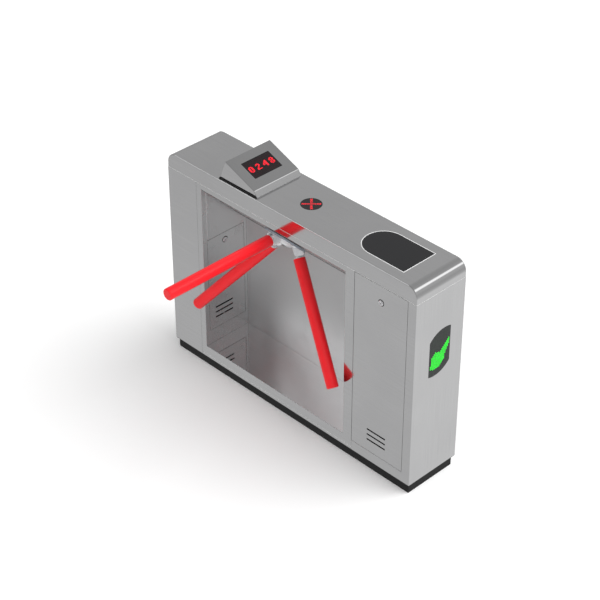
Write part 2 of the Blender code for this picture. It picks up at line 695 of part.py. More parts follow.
def build_latch(axis, chassis, side, word):
    """Locking pawl on its post, with the solenoid that pushes it."""
    pivot = Vector((side * 0.052, -0.045))
    elbow = (side * 0.0615, -0.008)
    top = (side * 0.0640, 0.026)
    post_radius = 0.0035
    empty = add_empty(f"pawl_{word}_axis", (pivot.x, pivot.y, -0.015))
    empty.parent = axis
    local = [(Vector(point) - pivot) for point in (elbow, top)]
    thickness = 0.010
    pawl = plate(f"lock_pawl_{word}", bar_outline((0, 0), local[0], 0.0065), thickness, "machined_steel", empty)
    arm = plate(f"pawl_arm_{word}", bar_outline(local[0], local[1], 0.0045), thickness, parent=empty, cutter=True)
    boolean(pawl, arm, "UNION")
    reach = 0.0530 - pivot.x * side
    near, far = side * reach, side * (local[0].x * side)
    nose = box(f"pawl_nose_{word}", (min(near, far), 0.0427, -thickness / 2),
               (max(near, far), 0.0473, thickness / 2), parent=empty, cutter=True)
    boolean(pawl, nose, "UNION")
    cut_round(pawl, post_radius + GAP, -0.02, 0.02, parent=empty, segments=16)
    post = cylinder(f"pawl_post_{word}", post_radius, -0.0215, CHASSIS_LOW + 0.004, centre=pivot,
                    parent=axis, segments=16, cutter=True)
    boolean(chassis, post, "UNION")

    face, tail, line_y, line_z = 0.0930, 0.1240, 0.026, -0.015
    low_x, high_x = sorted((side * face, side * tail))
    body = box(f"solenoid_{word}", (low_x, line_y - 0.013, line_z - 0.013),
               (high_x, line_y + 0.013, line_z + 0.013), "zinc_plate", axis)
    tab = box(f"solenoid_tab_{word}", (low_x, line_y + 0.010, line_z), (high_x, line_y + 0.013, CHASSIS_LOW - GAP),
              parent=axis, cutter=True)
    boolean(body, tab, "UNION")
    along = shift((side * (face + tail) / 2, line_y, line_z)) @ ALONG_X
    cut_round(body, 0.0044, -0.05, 0.05, parent=axis, matrix=along, segments=16)
    rod = shift((0, line_y, line_z)) @ Matrix.Rotation(side * math.radians(90), 4, "Y")
    cylinder(f"plunger_{word}", 0.0040, 0.0705, 0.1290, "machined_steel", parent=axis, matrix=rod, segments=16)


def build_rotor(axis):
    """Everything that turns with the arms."""
    disc_low = SLOPE_FACE + 0.003
    disc_high = disc_low + HUB_DISC_THICKNESS
    edge = 0.0015
    turned("hub_disc", [
        (0.0, disc_high), (HUB_DISC_RADIUS - edge, disc_high), (HUB_DISC_RADIUS, disc_high - edge),
        (HUB_DISC_RADIUS, disc_low + edge), (HUB_DISC_RADIUS - edge, disc_low), (0.0, disc_low),
    ], "hub_grey", axis, segments=48)
    cylinder("main_shaft", SHAFT_RADIUS, -0.118, disc_low - GAP, "machined_steel", parent=axis)
    shaft_wheel("index_cam", lobed_outline(CAM_LOBES, 0.0480, 0.0080, 54), 0.006, 0.020, "machined_steel", axis)
    shaft_wheel("ratchet_wheel", notched_outline(RATCHET_NOTCHES, 0.050, 0.008, math.radians(6.5)),
                -0.020, -0.010, "machined_steel", axis)
    gear_radius = GEAR_TEETH * GEAR_MODULE / 2
    shaft_wheel("main_gear", toothed_outline(GEAR_TEETH, gear_radius, GEAR_MODULE), -0.046, -0.036,
                "machined_steel", axis)
    shaft_wheel("encoder_disc", notched_outline(24, 0.0370, 0.0045, math.radians(3.6)),
                -0.0920, -0.0905, "black_plastic", axis)

    pinion_radius = PINION_TEETH * GEAR_MODULE / 2
    spin = add_empty("damper_axis", (gear_radius + pinion_radius + 0.0002, 0, 0))
    spin.parent = axis
    half_pitch = math.pi / PINION_TEETH
    plate("damper_pinion", toothed_outline(PINION_TEETH, pinion_radius, GEAR_MODULE), 0.0120, "machined_steel",
          spin, shift((0, 0, -0.0420)) @ Matrix.Rotation(math.pi + half_pitch, 4, "Z"))
    return disc_high


def arm_frame(index):
    """Arm frame: Z along the arm, X along its drop pivot, origin at the apex."""
    around = Matrix.Rotation(math.radians(120 * index), 4, "Z")
    return around @ Matrix.Rotation(-ARM_CONE, 4, "X")


def build_hub(axis, disc_high):
    foot, crown = disc_high + GAP, 0.0720
    casting = turned("hub_casting", [
        (0.0, crown), (0.028, crown), (0.042, 0.0645), (0.056, 0.0586), (0.060, foot), (0.0, foot),
    ], "hub_silver", axis, segments=32)
    cheek_radius, cheek_inner, cheek_outer = 0.0155, 0.0085, 0.0200
    pad_half_width, pad_start, pad_end, pad_top = 0.0205, 0.020, 0.087, 0.0590
    pin_radius = PIN_DISTANCE * math.sin(ARM_CONE)
    pin_height = PIN_DISTANCE * math.cos(ARM_CONE)
    flare_base = foot + GAP - pin_height
    flare = [
        (-0.0130, 0.0080), (-0.0265, -0.0045), (-0.0290, flare_base), (0.0215, flare_base),
        (0.0265, -0.0045), (0.0130, 0.0080),
    ]
    fan = [(pin_radius + out, pin_height + up) for out, up in flare]
    for index in range(3):
        frame = arm_frame(index)
        spoke = Matrix.Rotation(math.radians(120 * index), 4, "Z")
        pad = box("hub_pad", (-pad_half_width, pad_start, foot), (pad_half_width, pad_end, pad_top), parent=axis,
                  matrix=spoke, cutter=True)
        boolean(casting, pad, "UNION")
        for side in (-1, 1):
            turn = frame @ shift((side * (cheek_inner + cheek_outer) / 2, 0, PIN_DISTANCE)) @ ALONG_X
            cheek = cylinder("hub_cheek", cheek_radius, -(cheek_outer - cheek_inner) / 2,
                             (cheek_outer - cheek_inner) / 2, parent=axis, matrix=turn, segments=24, cutter=True)
            boolean(casting, cheek, "UNION")
            gusset = plate("hub_gusset", fan, cheek_outer - cheek_inner - 3 * GAP, parent=axis, cutter=True,
                           matrix=spoke @ shift((side * (cheek_inner + cheek_outer) / 2, 0, 0)) @ ON_END)
            boolean(casting, gusset, "UNION")
    for index in range(3):
        pin = arm_frame(index) @ shift((0, 0, PIN_DISTANCE)) @ ALONG_X
        cut_round(casting, 0.0151, -cheek_inner, cheek_inner, parent=axis, matrix=pin, segments=32)
        cut_round(casting, 0.0043, -0.03, 0.03, parent=axis, matrix=pin, segments=16)
    bolt_radius, bolt_head = 0.011, 0.0065
    bolt = cylinder("hub_centre_bolt", bolt_radius, crown - bolt_head, crown + bolt_head, parent=axis,
                    segments=6, cutter=True)
    boolean(casting, bolt, "UNION")


def build_arm(axis, index):
    """Red tube on a steel knuckle, whose trunnion turns in the hub's cheeks."""
    number = index + 1
    frame = arm_frame(index)
    hinge = add_empty(f"arm_{number}_pivot", (frame @ shift((0, 0, PIN_DISTANCE))).translation, frame.to_euler())
    hinge.parent = axis
    start = ARM_ROOT - PIN_DISTANCE
    end = ARM_REACH - PIN_DISTANCE
    inner = ARM_RADIUS - ARM_WALL
    collar = 0.0235
    knuckle = turned(f"arm_{number}_knuckle", [
        (0.0, 0.070), (inner - GAP, 0.070), (inner - GAP, start - GAP), (collar, start - GAP),
        (collar, 0.0180), (0.0, 0.0180),
    ], "hub_silver", hinge, segments=24)
    tongue = cylinder("tongue", 0.0145, -0.008, 0.008, parent=hinge, segments=24, cutter=True, matrix=ALONG_X)
    boolean(knuckle, tongue, "UNION")
    neck = box("neck", (-0.008, -0.0125, 0.0), (0.008, 0.0125, 0.020), parent=hinge, cutter=True)
    boolean(knuckle, neck, "UNION")
    trunnion = cylinder("trunnion", 0.0040, -0.0175, 0.0175, parent=hinge, segments=16, cutter=True, matrix=ALONG_X)
    boolean(knuckle, trunnion, "UNION")

    dome = 0.006
    tip = arc((ARM_RADIUS - dome, end - dome), dome, 90, 0, 4)
    outline = [(0.0, end)] + tip + [(ARM_RADIUS, start), (inner, start), (inner, end - 0.010), (0.0, end - 0.010)]
    turned(f"arm_{number}_tube", outline, "arm_red", hinge, segments=28)


# ---------------------------------------------------------------- assembly
def build_turnstile():
    build_base()
    build_cabinet()
    build_recess()
    build_cover()
    build_top_windows()
    build_display()
    build_end_indicator()
    build_doors()
    build_electrics()

    axis = add_empty("rotor_axis", HUB_APEX, (HUB_TILT, 0, 0))
    build_hub_plate(axis)
    chassis = build_fixed_mechanism(axis)
    build_follower(axis)
    build_latch(axis, chassis, 1, "right")
    build_latch(axis, chassis, -1, "left")
    disc_high = build_rotor(axis)
    build_hub(axis, disc_high)
    for index in range(3):
        build_arm(axis, index)


build_turnstile()
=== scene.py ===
import json
import math

import bmesh
import bpy
from mathutils import Matrix, Vector


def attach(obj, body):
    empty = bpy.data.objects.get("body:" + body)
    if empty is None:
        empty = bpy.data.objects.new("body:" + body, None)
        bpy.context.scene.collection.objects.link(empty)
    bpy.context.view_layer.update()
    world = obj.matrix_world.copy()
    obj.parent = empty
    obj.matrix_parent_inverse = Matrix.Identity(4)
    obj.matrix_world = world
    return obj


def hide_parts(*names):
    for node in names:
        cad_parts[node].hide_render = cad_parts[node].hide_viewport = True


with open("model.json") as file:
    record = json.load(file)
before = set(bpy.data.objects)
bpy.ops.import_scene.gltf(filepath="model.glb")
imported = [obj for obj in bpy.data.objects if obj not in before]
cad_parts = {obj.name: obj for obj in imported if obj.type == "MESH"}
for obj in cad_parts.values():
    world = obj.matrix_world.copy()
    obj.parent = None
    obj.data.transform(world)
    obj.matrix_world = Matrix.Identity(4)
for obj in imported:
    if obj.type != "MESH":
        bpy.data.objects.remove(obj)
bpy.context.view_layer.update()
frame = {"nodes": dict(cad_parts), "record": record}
NODES = frame["nodes"]

# ---------------------------------------------------------------- dimensions of the visible shapes
HALF_L = 0.700
HALF_D = 0.1375
HEIGHT = 1.000
END_RADIUS = 0.048
CUT_LOW = 0.95
CUT_HIGH = 1.05
SHEET = 0.0015
LIP_Z = 0.928
RECESS_LEFT = -0.497
SLOPE_SUM = 0.7655
GLAND_X = -0.600

HUB_APEX = Vector((-0.088, -0.018, 0.849))
HUB_TILT = math.radians(135)
ARM_CONE = math.radians(45)
ARM_RADIUS = 0.025
ARM_ROOT = 0.1238
ARM_REACH = 0.6605
ARM_COUNT = 3
ARM_STEP = 120
PIN_DISTANCE = 0.102
DISC_LOW = 0.0479
DISC_HIGH = 0.0559
DISC_RADIUS = 0.094
EAR_RADIUS = 0.0155
SLOT_RADIUS = 0.0152
PAD_TOP = 0.0590

INDICATOR_X = 0.006
INDICATOR_RADIUS = 0.0445
CARD_ARC_X = 0.4025
CARD_END_X = 0.583
CARD_HALF_WIDTH = 0.087
LEAF_Y = 0.0065
LEAF_Z = 0.6430

DISPLAY_SECTION = ((-0.3955, 1.0003), (-0.174, 1.0003), (-0.192, 1.025), (-0.360, 1.090))
DISPLAY_HALF_DEPTH = 0.1238
DISPLAY_OPENING = ((-0.375, -0.105), (-0.200, 0.105))
SCREEN_NEAR = 0.043
SCREEN_FAR = 0.1335
SCREEN_HALF_WIDTH = 0.075

HUB_AXIS = Matrix.Translation(HUB_APEX) @ Matrix.Rotation(HUB_TILT, 4, "X")
ON_FRONT = Matrix.Rotation(math.radians(90), 4, "X")
ALONG_X = Matrix.Rotation(math.radians(90), 4, "Y")
ON_END = Matrix(((0, 0, 1, 0), (1, 0, 0, 0), (0, 1, 0, 0), (0, 0, 0, 1)))


# ---------------------------------------------------------------- shader helpers
class Shader:
    """A node tree with the few chains that the finishes share."""

    def __init__(self, name, colour, metallic=0.0, roughness=0.4, **sockets):
        self.material = bpy.data.materials.new(name)
        self.material.use_nodes = True
        self.tree = self.material.node_tree
        self.surface = self.tree.nodes["Principled BSDF"]
        self.set("Base Color", (*colour, 1.0))
        self.set("Metallic", metallic)
        self.set("Roughness", roughness)
        for socket, value in sockets.items():
            self.set(socket.replace("_", " "), value)
        self.colour = colour
        self.place = self.node("ShaderNodeTexCoord")

    def set(self, socket, value):
        self.surface.inputs[socket].default_value = value

    def node(self, kind, **facts):
        made = self.tree.nodes.new(kind)
        for fact, value in facts.items():
            setattr(made, fact, value)
        return made

    def wire(self, source, target):
        self.tree.links.new(source, target)

    def noise(self, scale, detail=2.0, rough=0.5, distortion=0.0):
        """Noise in object space, stretched by a scale per axis."""
        mapping = self.node("ShaderNodeMapping")
        mapping.inputs["Scale"].default_value = scale if isinstance(scale, tuple) else (scale,) * 3
        self.wire(self.place.outputs["Object"], mapping.inputs["Vector"])
        noise = self.node("ShaderNodeTexNoise")
        noise.inputs["Scale"].default_value = 1.0
        noise.inputs["Detail"].default_value = detail
        noise.inputs["Roughness"].default_value = rough
        noise.inputs["Distortion"].default_value = distortion
        self.wire(mapping.outputs["Vector"], noise.inputs["Vector"])
        return noise.outputs["Fac"]

    def spread(self, fac, low, high, start=0.3, end=0.7):
        """fac between start and end becomes a number between low and high."""
        node = self.node("ShaderNodeMapRange")
        for socket, value in zip(("From Min", "From Max", "To Min", "To Max"), (start, end, low, high)):
            node.inputs[socket].default_value = value
        self.wire(fac, node.inputs["Value"])
        return node.outputs["Result"]

    def maths(self, operation, first, second):
        node = self.node("ShaderNodeMath", operation=operation)
        for socket, value in zip(node.inputs, (first, second)):
            if isinstance(value, (int, float)):
                socket.default_value = value
            else:
                self.wire(value, socket)
        return node.outputs[0]

    def mix(self, fac, first, second):
        """Colour or link, to colour or link, by fac."""
        node = self.node("ShaderNodeMix", data_type="RGBA")
        self.wire(fac, node.inputs["Factor"])
        for socket, value in zip((node.inputs[6], node.inputs[7]), (first, second)):
            if isinstance(value, tuple):
                socket.default_value = (*value, 1.0)
            else:
                self.wire(value, socket)
        return node.outputs[2]

    def paint(self, colour):
        self.wire(colour, self.surface.inputs["Base Color"])

    def gloss(self, value):
        self.wire(value, self.surface.inputs["Roughness"])

    def bump(self, height, distance, strength=1.0):
        node = self.node("ShaderNodeBump")
        node.inputs["Strength"].default_value = strength
        node.inputs["Distance"].default_value = distance
        self.wire(height, node.inputs["Height"])
        self.wire(node.outputs["Normal"], self.surface.inputs["Normal"])

    def edges(self, radius):
        """1 along worn edges, 0 on open faces."""
        bevel = self.node("ShaderNodeBevel", samples=4)
        bevel.inputs["Radius"].default_value = radius
        flat = self.node("ShaderNodeNewGeometry")
        dot = self.node("ShaderNodeVectorMath", operation="DOT_PRODUCT")
        self.wire(bevel.outputs["Normal"], dot.inputs[0])
        self.wire(flat.outputs["Normal"], dot.inputs[1])
        return self.spread(dot.outputs["Value"], 1.0, 0.0, 0.80, 0.98)

    def end_faces(self):
        """1 where the surface faces along X, 0 elsewhere."""
        split = self.node("ShaderNodeSeparateXYZ")
        self.wire(self.place.outputs["Normal"], split.inputs[0])
        size = self.maths("ABSOLUTE", split.outputs["X"], 0.0)
        return self.spread(size, 0.0, 1.0, 0.6, 0.8)


def scaled(colour, by):
    return tuple(channel * by for channel in colour)


# ---------------------------------------------------------------- finishes
def brushed(name, colour, smooth, rough, grain_size=900.0, tint=0.05, along=4.0, clouding=0.22):
    """Hairline stainless: fine grain along the sheet, faint clouding and a few handling marks."""
    shader = Shader(name, colour, 1.0, smooth)
    side = shader.noise((along, grain_size, grain_size), 3.0)
    end = shader.noise((grain_size, grain_size, along), 3.0)
    pick = shader.node("ShaderNodeMix", data_type="FLOAT")
    shader.wire(shader.end_faces(), pick.inputs["Factor"])
    shader.wire(side, pick.inputs[2])
    shader.wire(end, pick.inputs[3])
    grain = pick.outputs[0]
    cloud = shader.noise(3.5, 3.0, 0.55, 0.4)
    marks = shader.noise(16.0, 4.0, 0.7, 0.8)
    tone = shader.mix(shader.spread(grain, 0.0, 1.0), scaled(colour, 1 - tint), scaled(colour, 1 + tint))
    shader.paint(shader.mix(shader.spread(cloud, 0.0, clouding), tone, scaled(colour, 0.80)))
    fine = shader.spread(grain, smooth, rough)
    handled = shader.spread(marks, 0.0, 0.07, 0.56, 0.74)
    shader.gloss(shader.maths("ADD", fine, handled))
    shader.bump(grain, 0.00001, 0.35)
    return shader.material


def turned_metal(name, colour, smooth, rough, tint=0.06):
    """Machined or plated metal: fine isotropic tooling marks with a little grime."""
    shader = Shader(name, colour, 1.0, smooth)
    tooling = shader.noise(1400.0, 2.0)
    grime = shader.noise(45.0, 4.0, 0.6)
    dark, light = scaled(colour, 1 - 2.5 * tint), scaled(colour, 1 + tint)
    shader.paint(shader.mix(shader.spread(grime, 0.0, 1.0), dark, light))
    shader.gloss(shader.maths("ADD", shader.spread(tooling, smooth, rough), shader.spread(grime, 0.06, 0.0)))
    shader.bump(tooling, 0.00001, 0.4)
    return shader.material


def cast_metal(name, colour, smooth, rough, metallic=1.0):
    """Cast and tumbled alloy: soft pitting, brighter along its edges."""
    shader = Shader(name, colour, metallic, smooth)
    pits = shader.noise(420.0, 3.0, 0.6)
    cloud = shader.noise(60.0, 3.0)
    body = shader.mix(shader.spread(cloud, 0.0, 1.0), scaled(colour, 0.84), colour)
    shader.paint(shader.mix(shader.edges(0.0012), body, scaled(colour, 1.18)))
    shader.gloss(shader.spread(pits, smooth, rough))
    shader.bump(pits, 0.00006, 0.45)
    return shader.material


def coated(name, colour, smooth, rough, worn, coat=0.0, peel=260.0, chip=0.6, rub=0.30, shine=0.5):
    """Sprayed coat with orange peel, fine scuffs, and edges rubbed towards another colour."""
    shader = Shader(name, colour, 0.0, smooth,
                    Coat_Weight=coat, Coat_Roughness=0.08, Specular_IOR_Level=shine)
    peel_height = shader.noise(peel, 2.0)
    scuff = shader.noise((90.0, 90.0, 22.0), 5.0, 0.72, 0.6)
    cloud = shader.noise(9.0, 3.0)
    body = shader.mix(shader.spread(cloud, 0.0, 1.0), scaled(colour, 0.95), scaled(colour, 1.03))
    rubbed = shader.mix(shader.spread(scuff, 0.0, rub, 0.62, 0.86), body, worn)
    if chip:
        chipped = shader.spread(scuff, 0.0, chip, 0.42, 0.62)
        edge = shader.maths("MULTIPLY", shader.edges(0.0010), chipped)
        rubbed = shader.mix(edge, rubbed, worn)
    shader.paint(rubbed)
    shader.gloss(shader.spread(scuff, smooth, rough, 0.35, 0.75))
    shader.bump(peel_height, 0.00004, 0.25)
    return shader.material


def moulded(name, colour, smooth, rough, texture=600.0):
    """Moulded plastic or rubber with a fine spark texture."""
    shader = Shader(name, colour, 0.0, smooth)
    grain = shader.noise(texture, 2.0)
    cloud = shader.noise(25.0, 3.0)
    shader.paint(shader.mix(shader.spread(cloud, 0.0, 1.0), scaled(colour, 0.8), scaled(colour, 1.25)))
    shader.gloss(shader.spread(grain, smooth, rough))
    shader.bump(grain, 0.00005, 0.35)
    return shader.material


def smoked(name, colour):
    """Dark gloss acrylic with a hard coat, wiped and slightly marked."""
    shader = Shader(name, colour, 0.0, 0.06, Coat_Weight=0.15, Coat_Roughness=0.03, Specular_IOR_Level=0.35)
    wipe = shader.noise((14.0, 60.0, 60.0), 4.0, 0.65, 0.7)
    dust = shader.noise(900.0, 1.0)
    shader.paint(shader.mix(shader.spread(dust, 0.0, 0.10, 0.62, 0.80), colour, (0.06, 0.06, 0.06)))
    shader.gloss(shader.spread(wipe, 0.05, 0.16, 0.40, 0.75))
    return shader.material


def circuit(name, colour):
    """Solder mask with copper tracks showing through."""
    shader = Shader(name, colour, 0.0, 0.4)
    tracks = shader.node("ShaderNodeTexBrick")
    tracks.inputs["Scale"].default_value = 160.0
    tracks.inputs["Color1"].default_value = (*colour, 1.0)
    tracks.inputs["Color2"].default_value = (*scaled(colour, 1.5), 1.0)
    tracks.inputs["Mortar"].default_value = (*scaled(colour, 2.6), 1.0)
    shader.wire(shader.place.outputs["Object"], tracks.inputs["Vector"])
    shader.paint(tracks.outputs["Color"])
    shader.gloss(shader.spread(shader.noise(80.0), 0.3, 0.5))
    return shader.material


def lit(name, colour, strength):
    """Lit LED lens, a little uneven from lamp to lamp."""
    shader = Shader(name, scaled(colour, 0.5), 0.0, 0.25)
    shader.set("Emission Strength", strength)
    uneven = shader.noise(230.0, 0.0)
    glow = shader.mix(shader.spread(uneven, 0.0, 1.0), scaled(colour, 0.72), colour)
    shader.wire(glow, shader.surface.inputs["Emission Color"])
    shader.gloss(shader.spread(uneven, 0.2, 0.3))
    return shader.material


STEEL = (0.62, 0.62, 0.625)
INNER_STEEL = (0.80, 0.805, 0.81)
SATIN_STEEL = (0.72, 0.725, 0.73)
FINISH = {
    "cabinet_steel": brushed("cabinet_steel_hairline", STEEL, 0.075, 0.125),
    "polished_steel": brushed("polished_steel_hairline", INNER_STEEL, 0.035, 0.075, tint=0.03),
    "plinth_black": coated("plinth_black_paint", (0.007, 0.007, 0.0075), 0.42, 0.55, (0.06, 0.06, 0.055),
                           shine=0.2),
    "arm_red": coated("arm_red_powder_coat", (0.93, 0.012, 0.020), 0.28, 0.34, (0.50, 0.02, 0.02),
                      coat=0.10, peel=190.0, chip=0.0, rub=0.05, shine=0.35),
    "hub_silver": cast_metal("hub_silver_cast", (0.92, 0.93, 0.95), 0.16, 0.28, 0.40),
    "hub_grey": coated("hub_grey_anodised", (0.30, 0.33, 0.38), 0.28, 0.36, (0.40, 0.42, 0.46),
                       chip=0.0, rub=0.10),
    "cast_alloy": cast_metal("mechanism_cast_alloy", (0.55, 0.56, 0.57), 0.35, 0.55),
    "machined_steel": turned_metal("machined_steel_turned", (0.60, 0.60, 0.60), 0.22, 0.36),
    "zinc_plate": turned_metal("zinc_plate_passivated", (0.64, 0.65, 0.62), 0.28, 0.45, 0.10),
    "smoked_panel": smoked("smoked_acrylic", (0.009, 0.009, 0.0105)),
    "board_green": circuit("solder_mask_green", (0.02, 0.16, 0.07)),
    "black_plastic": moulded("black_moulded_plastic", (0.02, 0.02, 0.022), 0.35, 0.5),
    "gasket_rubber": moulded("gasket_rubber_black", (0.010, 0.010, 0.010), 0.55, 0.75, 300.0),
    "spring_steel": turned_metal("spring_wire", (0.35, 0.36, 0.38), 0.25, 0.4),
    "lock_chrome": turned_metal("lock_chrome_plate", (0.85, 0.85, 0.87), 0.05, 0.11, 0.03),
}
# Near-white paint on the card window's rim: a painted highlight.
TRIM_PAINTED_HIGHLIGHT = coated("trim_painted_highlight", (0.90, 0.90, 0.90), 0.30, 0.42, (0.5, 0.5, 0.5), chip=0.0)
# Light satin paint on the strip along the cover's lower edge: a painted highlight.
HEM_PAINTED_HIGHLIGHT = coated("hem_painted_highlight", (0.62, 0.62, 0.62), 0.30, 0.42, (0.4, 0.4, 0.4), chip=0.0)
SATIN_SHEET = brushed("satin_steel_hairline", SATIN_STEEL, 0.42, 0.52, tint=0.03, clouding=0.10)
SOFT_SHEET = brushed("soft_steel_hairline", INNER_STEEL, 0.22, 0.26, tint=0.03, clouding=0.06)
SHEET_FINISH = {
    "recess_back_wall": SATIN_SHEET, "hub_plate": SATIN_SHEET, "recess_right_wall": SATIN_SHEET,
    "recess_left_wall": SOFT_SHEET, "inner_service_door": SOFT_SHEET,
}
LED_RED = lit("led_red_lit", (1.0, 0.012, 0.03), 1.1)
LED_GREEN = lit("led_green_lit", (0.004, 1.0, 0.02), 1.0)
LED_DARK_RED = moulded("led_red_unlit", (0.022, 0.004, 0.005), 0.3, 0.4)
LED_DARK_GREEN = moulded("led_green_unlit", (0.005, 0.018, 0.006), 0.3, 0.4)


# ---------------------------------------------------------------- mesh helpers
def show(name, mesh, material, body, replaces=()):
    """Puts a finished mesh, in row coordinates, in the scene as a piece of the object."""
    obj = bpy.data.objects.new(name, mesh)
    bpy.context.scene.collection.objects.link(obj)
    mesh.materials.clear()
    mesh.materials.append(material)
    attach(obj, body)
    if replaces:
        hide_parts(*replaces)
    return obj


def new_bmesh(build, matrix=None):
    mesh = bpy.data.meshes.new("shape")
    work = bmesh.new()
    build(work)
    bmesh.ops.remove_doubles(work, verts=work.verts, dist=0.0000005)
    bmesh.ops.recalc_face_normals(work, faces=work.faces)
    if matrix is not None:
        bmesh.ops.transform(work, matrix=matrix, verts=work.verts)
    work.to_mesh(mesh)
    work.free()
    return mesh


def arc(centre, radius, start, end, steps):
    """Points on a circle from one angle to another, in degrees."""
    points = []
    for step in range(steps + 1):
        angle = math.radians(start + (end - start) * step / steps)
        points.append((centre[0] + radius * math.cos(angle), centre[1] + radius * math.sin(angle)))
    return points


def lathe(profile, segments=72, matrix=None):
    """Closed solid of revolution about Z from (radius, height) pairs.

    The pairs start and end on the axis, or the last one joins the first.
    """
    def build(work):
        rings = []
        for radius, height in profile:
            if radius < 1e-7:
                rings.append([work.verts.new((0, 0, height))])
                continue
            rings.append([
                work.verts.new((radius * math.cos(2 * math.pi * k / segments),
                                radius * math.sin(2 * math.pi * k / segments), height))
                for k in range(segments)
            ])
        closed = profile[0][0] > 1e-7
        pairs = list(zip(rings, rings[1:])) + ([(rings[-1], rings[0])] if closed else [])
        for first, second in pairs:
            for k in range(segments):
                corners = [first[k % len(first)], first[(k + 1) % len(first)],
                           second[(k + 1) % len(second)], second[k % len(second)]]
                unique = list(dict.fromkeys(corners))
                if len(unique) > 2:
                    work.faces.new(unique)
    return new_bmesh(build, matrix)


def prism(outline, low, high, matrix=None):
    """Flat outline in XY between two heights."""
    def build(work):
        rings = [[work.verts.new((x, y, z)) for x, y in outline] for z in (low, high)]
        count = len(outline)
        work.faces.new(rings[0][::-1])
        work.faces.new(rings[1])
        for k in range(count):
            after = (k + 1) % count
            work.faces.new((rings[0][k], rings[0][after], rings[1][after], rings[1][k]))
    return new_bmesh(build, matrix)


def block(low, high, matrix=None):
    outline = ((low[0], low[1]), (high[0], low[1]), (high[0], high[1]), (low[0], high[1]))
    return prism(outline, low[2], high[2], matrix)


def rounded(corner_low, corner_high, radius, steps=6):
    """Rectangle outline with round corners."""
    (x0, y0), (x1, y1) = corner_low, corner_high
    return (arc((x1 - radius, y1 - radius), radius, 0, 90, steps)
            + arc((x0 + radius, y1 - radius), radius, 90, 180, steps)
            + arc((x0 + radius, y0 + radius), radius, 180, 270, steps)
            + arc((x1 - radius, y0 + radius), radius, 270, 360, steps))


class Solid:
    """A mesh being worked with modifiers, in row coordinates."""

    def __init__(self, mesh):
        self.obj = bpy.data.objects.new("work", mesh)
        bpy.context.scene.collection.objects.link(self.obj)

    def apply(self):
        bpy.context.view_layer.update()
        evaluated = self.obj.evaluated_get(bpy.context.evaluated_depsgraph_get())
        mesh = bpy.data.meshes.new_from_object(evaluated)
        self.obj.modifiers.clear()
        self.obj.data = mesh
        return self

    def combine(self, mesh, operation):
        other = bpy.data.objects.new("tool", mesh)
        bpy.context.scene.collection.objects.link(other)
        step = self.obj.modifiers.new("step", "BOOLEAN")
        step.operation = operation
        step.solver = "EXACT"
        step.object = other
        self.apply()
        bpy.data.objects.remove(other)
        return self

    def cut(self, mesh):
        return self.combine(mesh, "DIFFERENCE")

    def add(self, mesh):
        return self.combine(mesh, "UNION")

    def soften(self, width, segments=3, angle=30):
        edge = self.obj.modifiers.new("edge", "BEVEL")
        edge.width = width
        edge.segments = segments
        edge.limit_method = "ANGLE"
        edge.angle_limit = math.radians(angle)
        edge.miter_outer = "MITER_ARC"
        return self.apply()

    def melt(self, voxel, rounds):
        """Remesh and relax, for the soft edges of a casting."""
        remesh = self.obj.modifiers.new("melt", "REMESH")
        remesh.mode = "VOXEL"
        remesh.voxel_size = voxel
        relax = self.obj.modifiers.new("relax", "SMOOTH")
        relax.iterations = rounds
        relax.factor = 0.5
        return self.apply()

    def done(self, crease=38):
        """Finished mesh: smooth curves, true flats and crisp corners."""
        self.obj.data.shade_smooth()
        self.obj.data.set_sharp_from_angle(angle=math.radians(crease))
        flat = self.obj.modifiers.new("flat", "WEIGHTED_NORMAL")
        flat.keep_sharp = True
        self.apply()
        mesh = self.obj.data
        bpy.data.objects.remove(self.obj)
        return mesh


def smooth(mesh, crease=38):
    mesh.shade_smooth()
    mesh.set_sharp_from_angle(angle=math.radians(crease))
    return mesh


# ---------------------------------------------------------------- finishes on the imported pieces
def refine(node, width):
    """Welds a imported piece, rounds its edges and keeps its flats flat."""
    normals = node.data.attributes.get("custom_normal")
    if normals is not None:
        node.data.attributes.remove(normals)
    for face in node.data.polygons:
        face.use_smooth = True
    weld = node.modifiers.new("Weld", "WELD")
    weld.merge_threshold = 0.00001
    edge = node.modifiers.new("Edges", "BEVEL")
    edge.width = width
    edge.segments = 3
    edge.limit_method = "ANGLE"
    edge.angle_limit = math.radians(32)
    edge.use_clamp_overlap = True
    flat = node.modifiers.new("Flats", "WEIGHTED_NORMAL")
    flat.keep_sharp = False


EDGE_WIDTH = {
    "cabinet_steel": 0.0005, "polished_steel": 0.0005, "plinth_black": 0.0010, "zinc_plate": 0.0006,
    "cast_alloy": 0.0010, "machined_steel": 0.0003, "black_plastic": 0.0006, "gasket_rubber": 0.0008,
    "smoked_panel": 0.0004, "lock_chrome": 0.0003,
}


def dress_packed():
    for piece in frame["record"]["subparts"]:
        node = NODES[piece["node"]]
        slot = piece["material_slot"]
        node.data.materials.clear()
        node.data.materials.append(SHEET_FINISH.get(piece["node"], FINISH[slot]))
        if slot in EDGE_WIDTH:
            refine(node, EDGE_WIDTH[slot])


# ---------------------------------------------------------------- cover
def cover_section(inset, foot):
    centre_x, centre_z = HALF_L - END_RADIUS, HEIGHT - END_RADIUS
    right = arc((centre_x, centre_z), END_RADIUS - inset, 0, 90, 24)
    left = [(-x, z) for x, z in reversed(right)]
    return [(HALF_L - inset, foot)] + right + left + [(-HALF_L + inset, foot)]


def card_outline(grow, steps=40):
    radius = CARD_HALF_WIDTH + grow
    return arc((CARD_ARC_X, 0.0), radius, 90, 270, steps) + [
        (CARD_END_X + grow, -radius), (CARD_END_X + grow, radius),
    ]


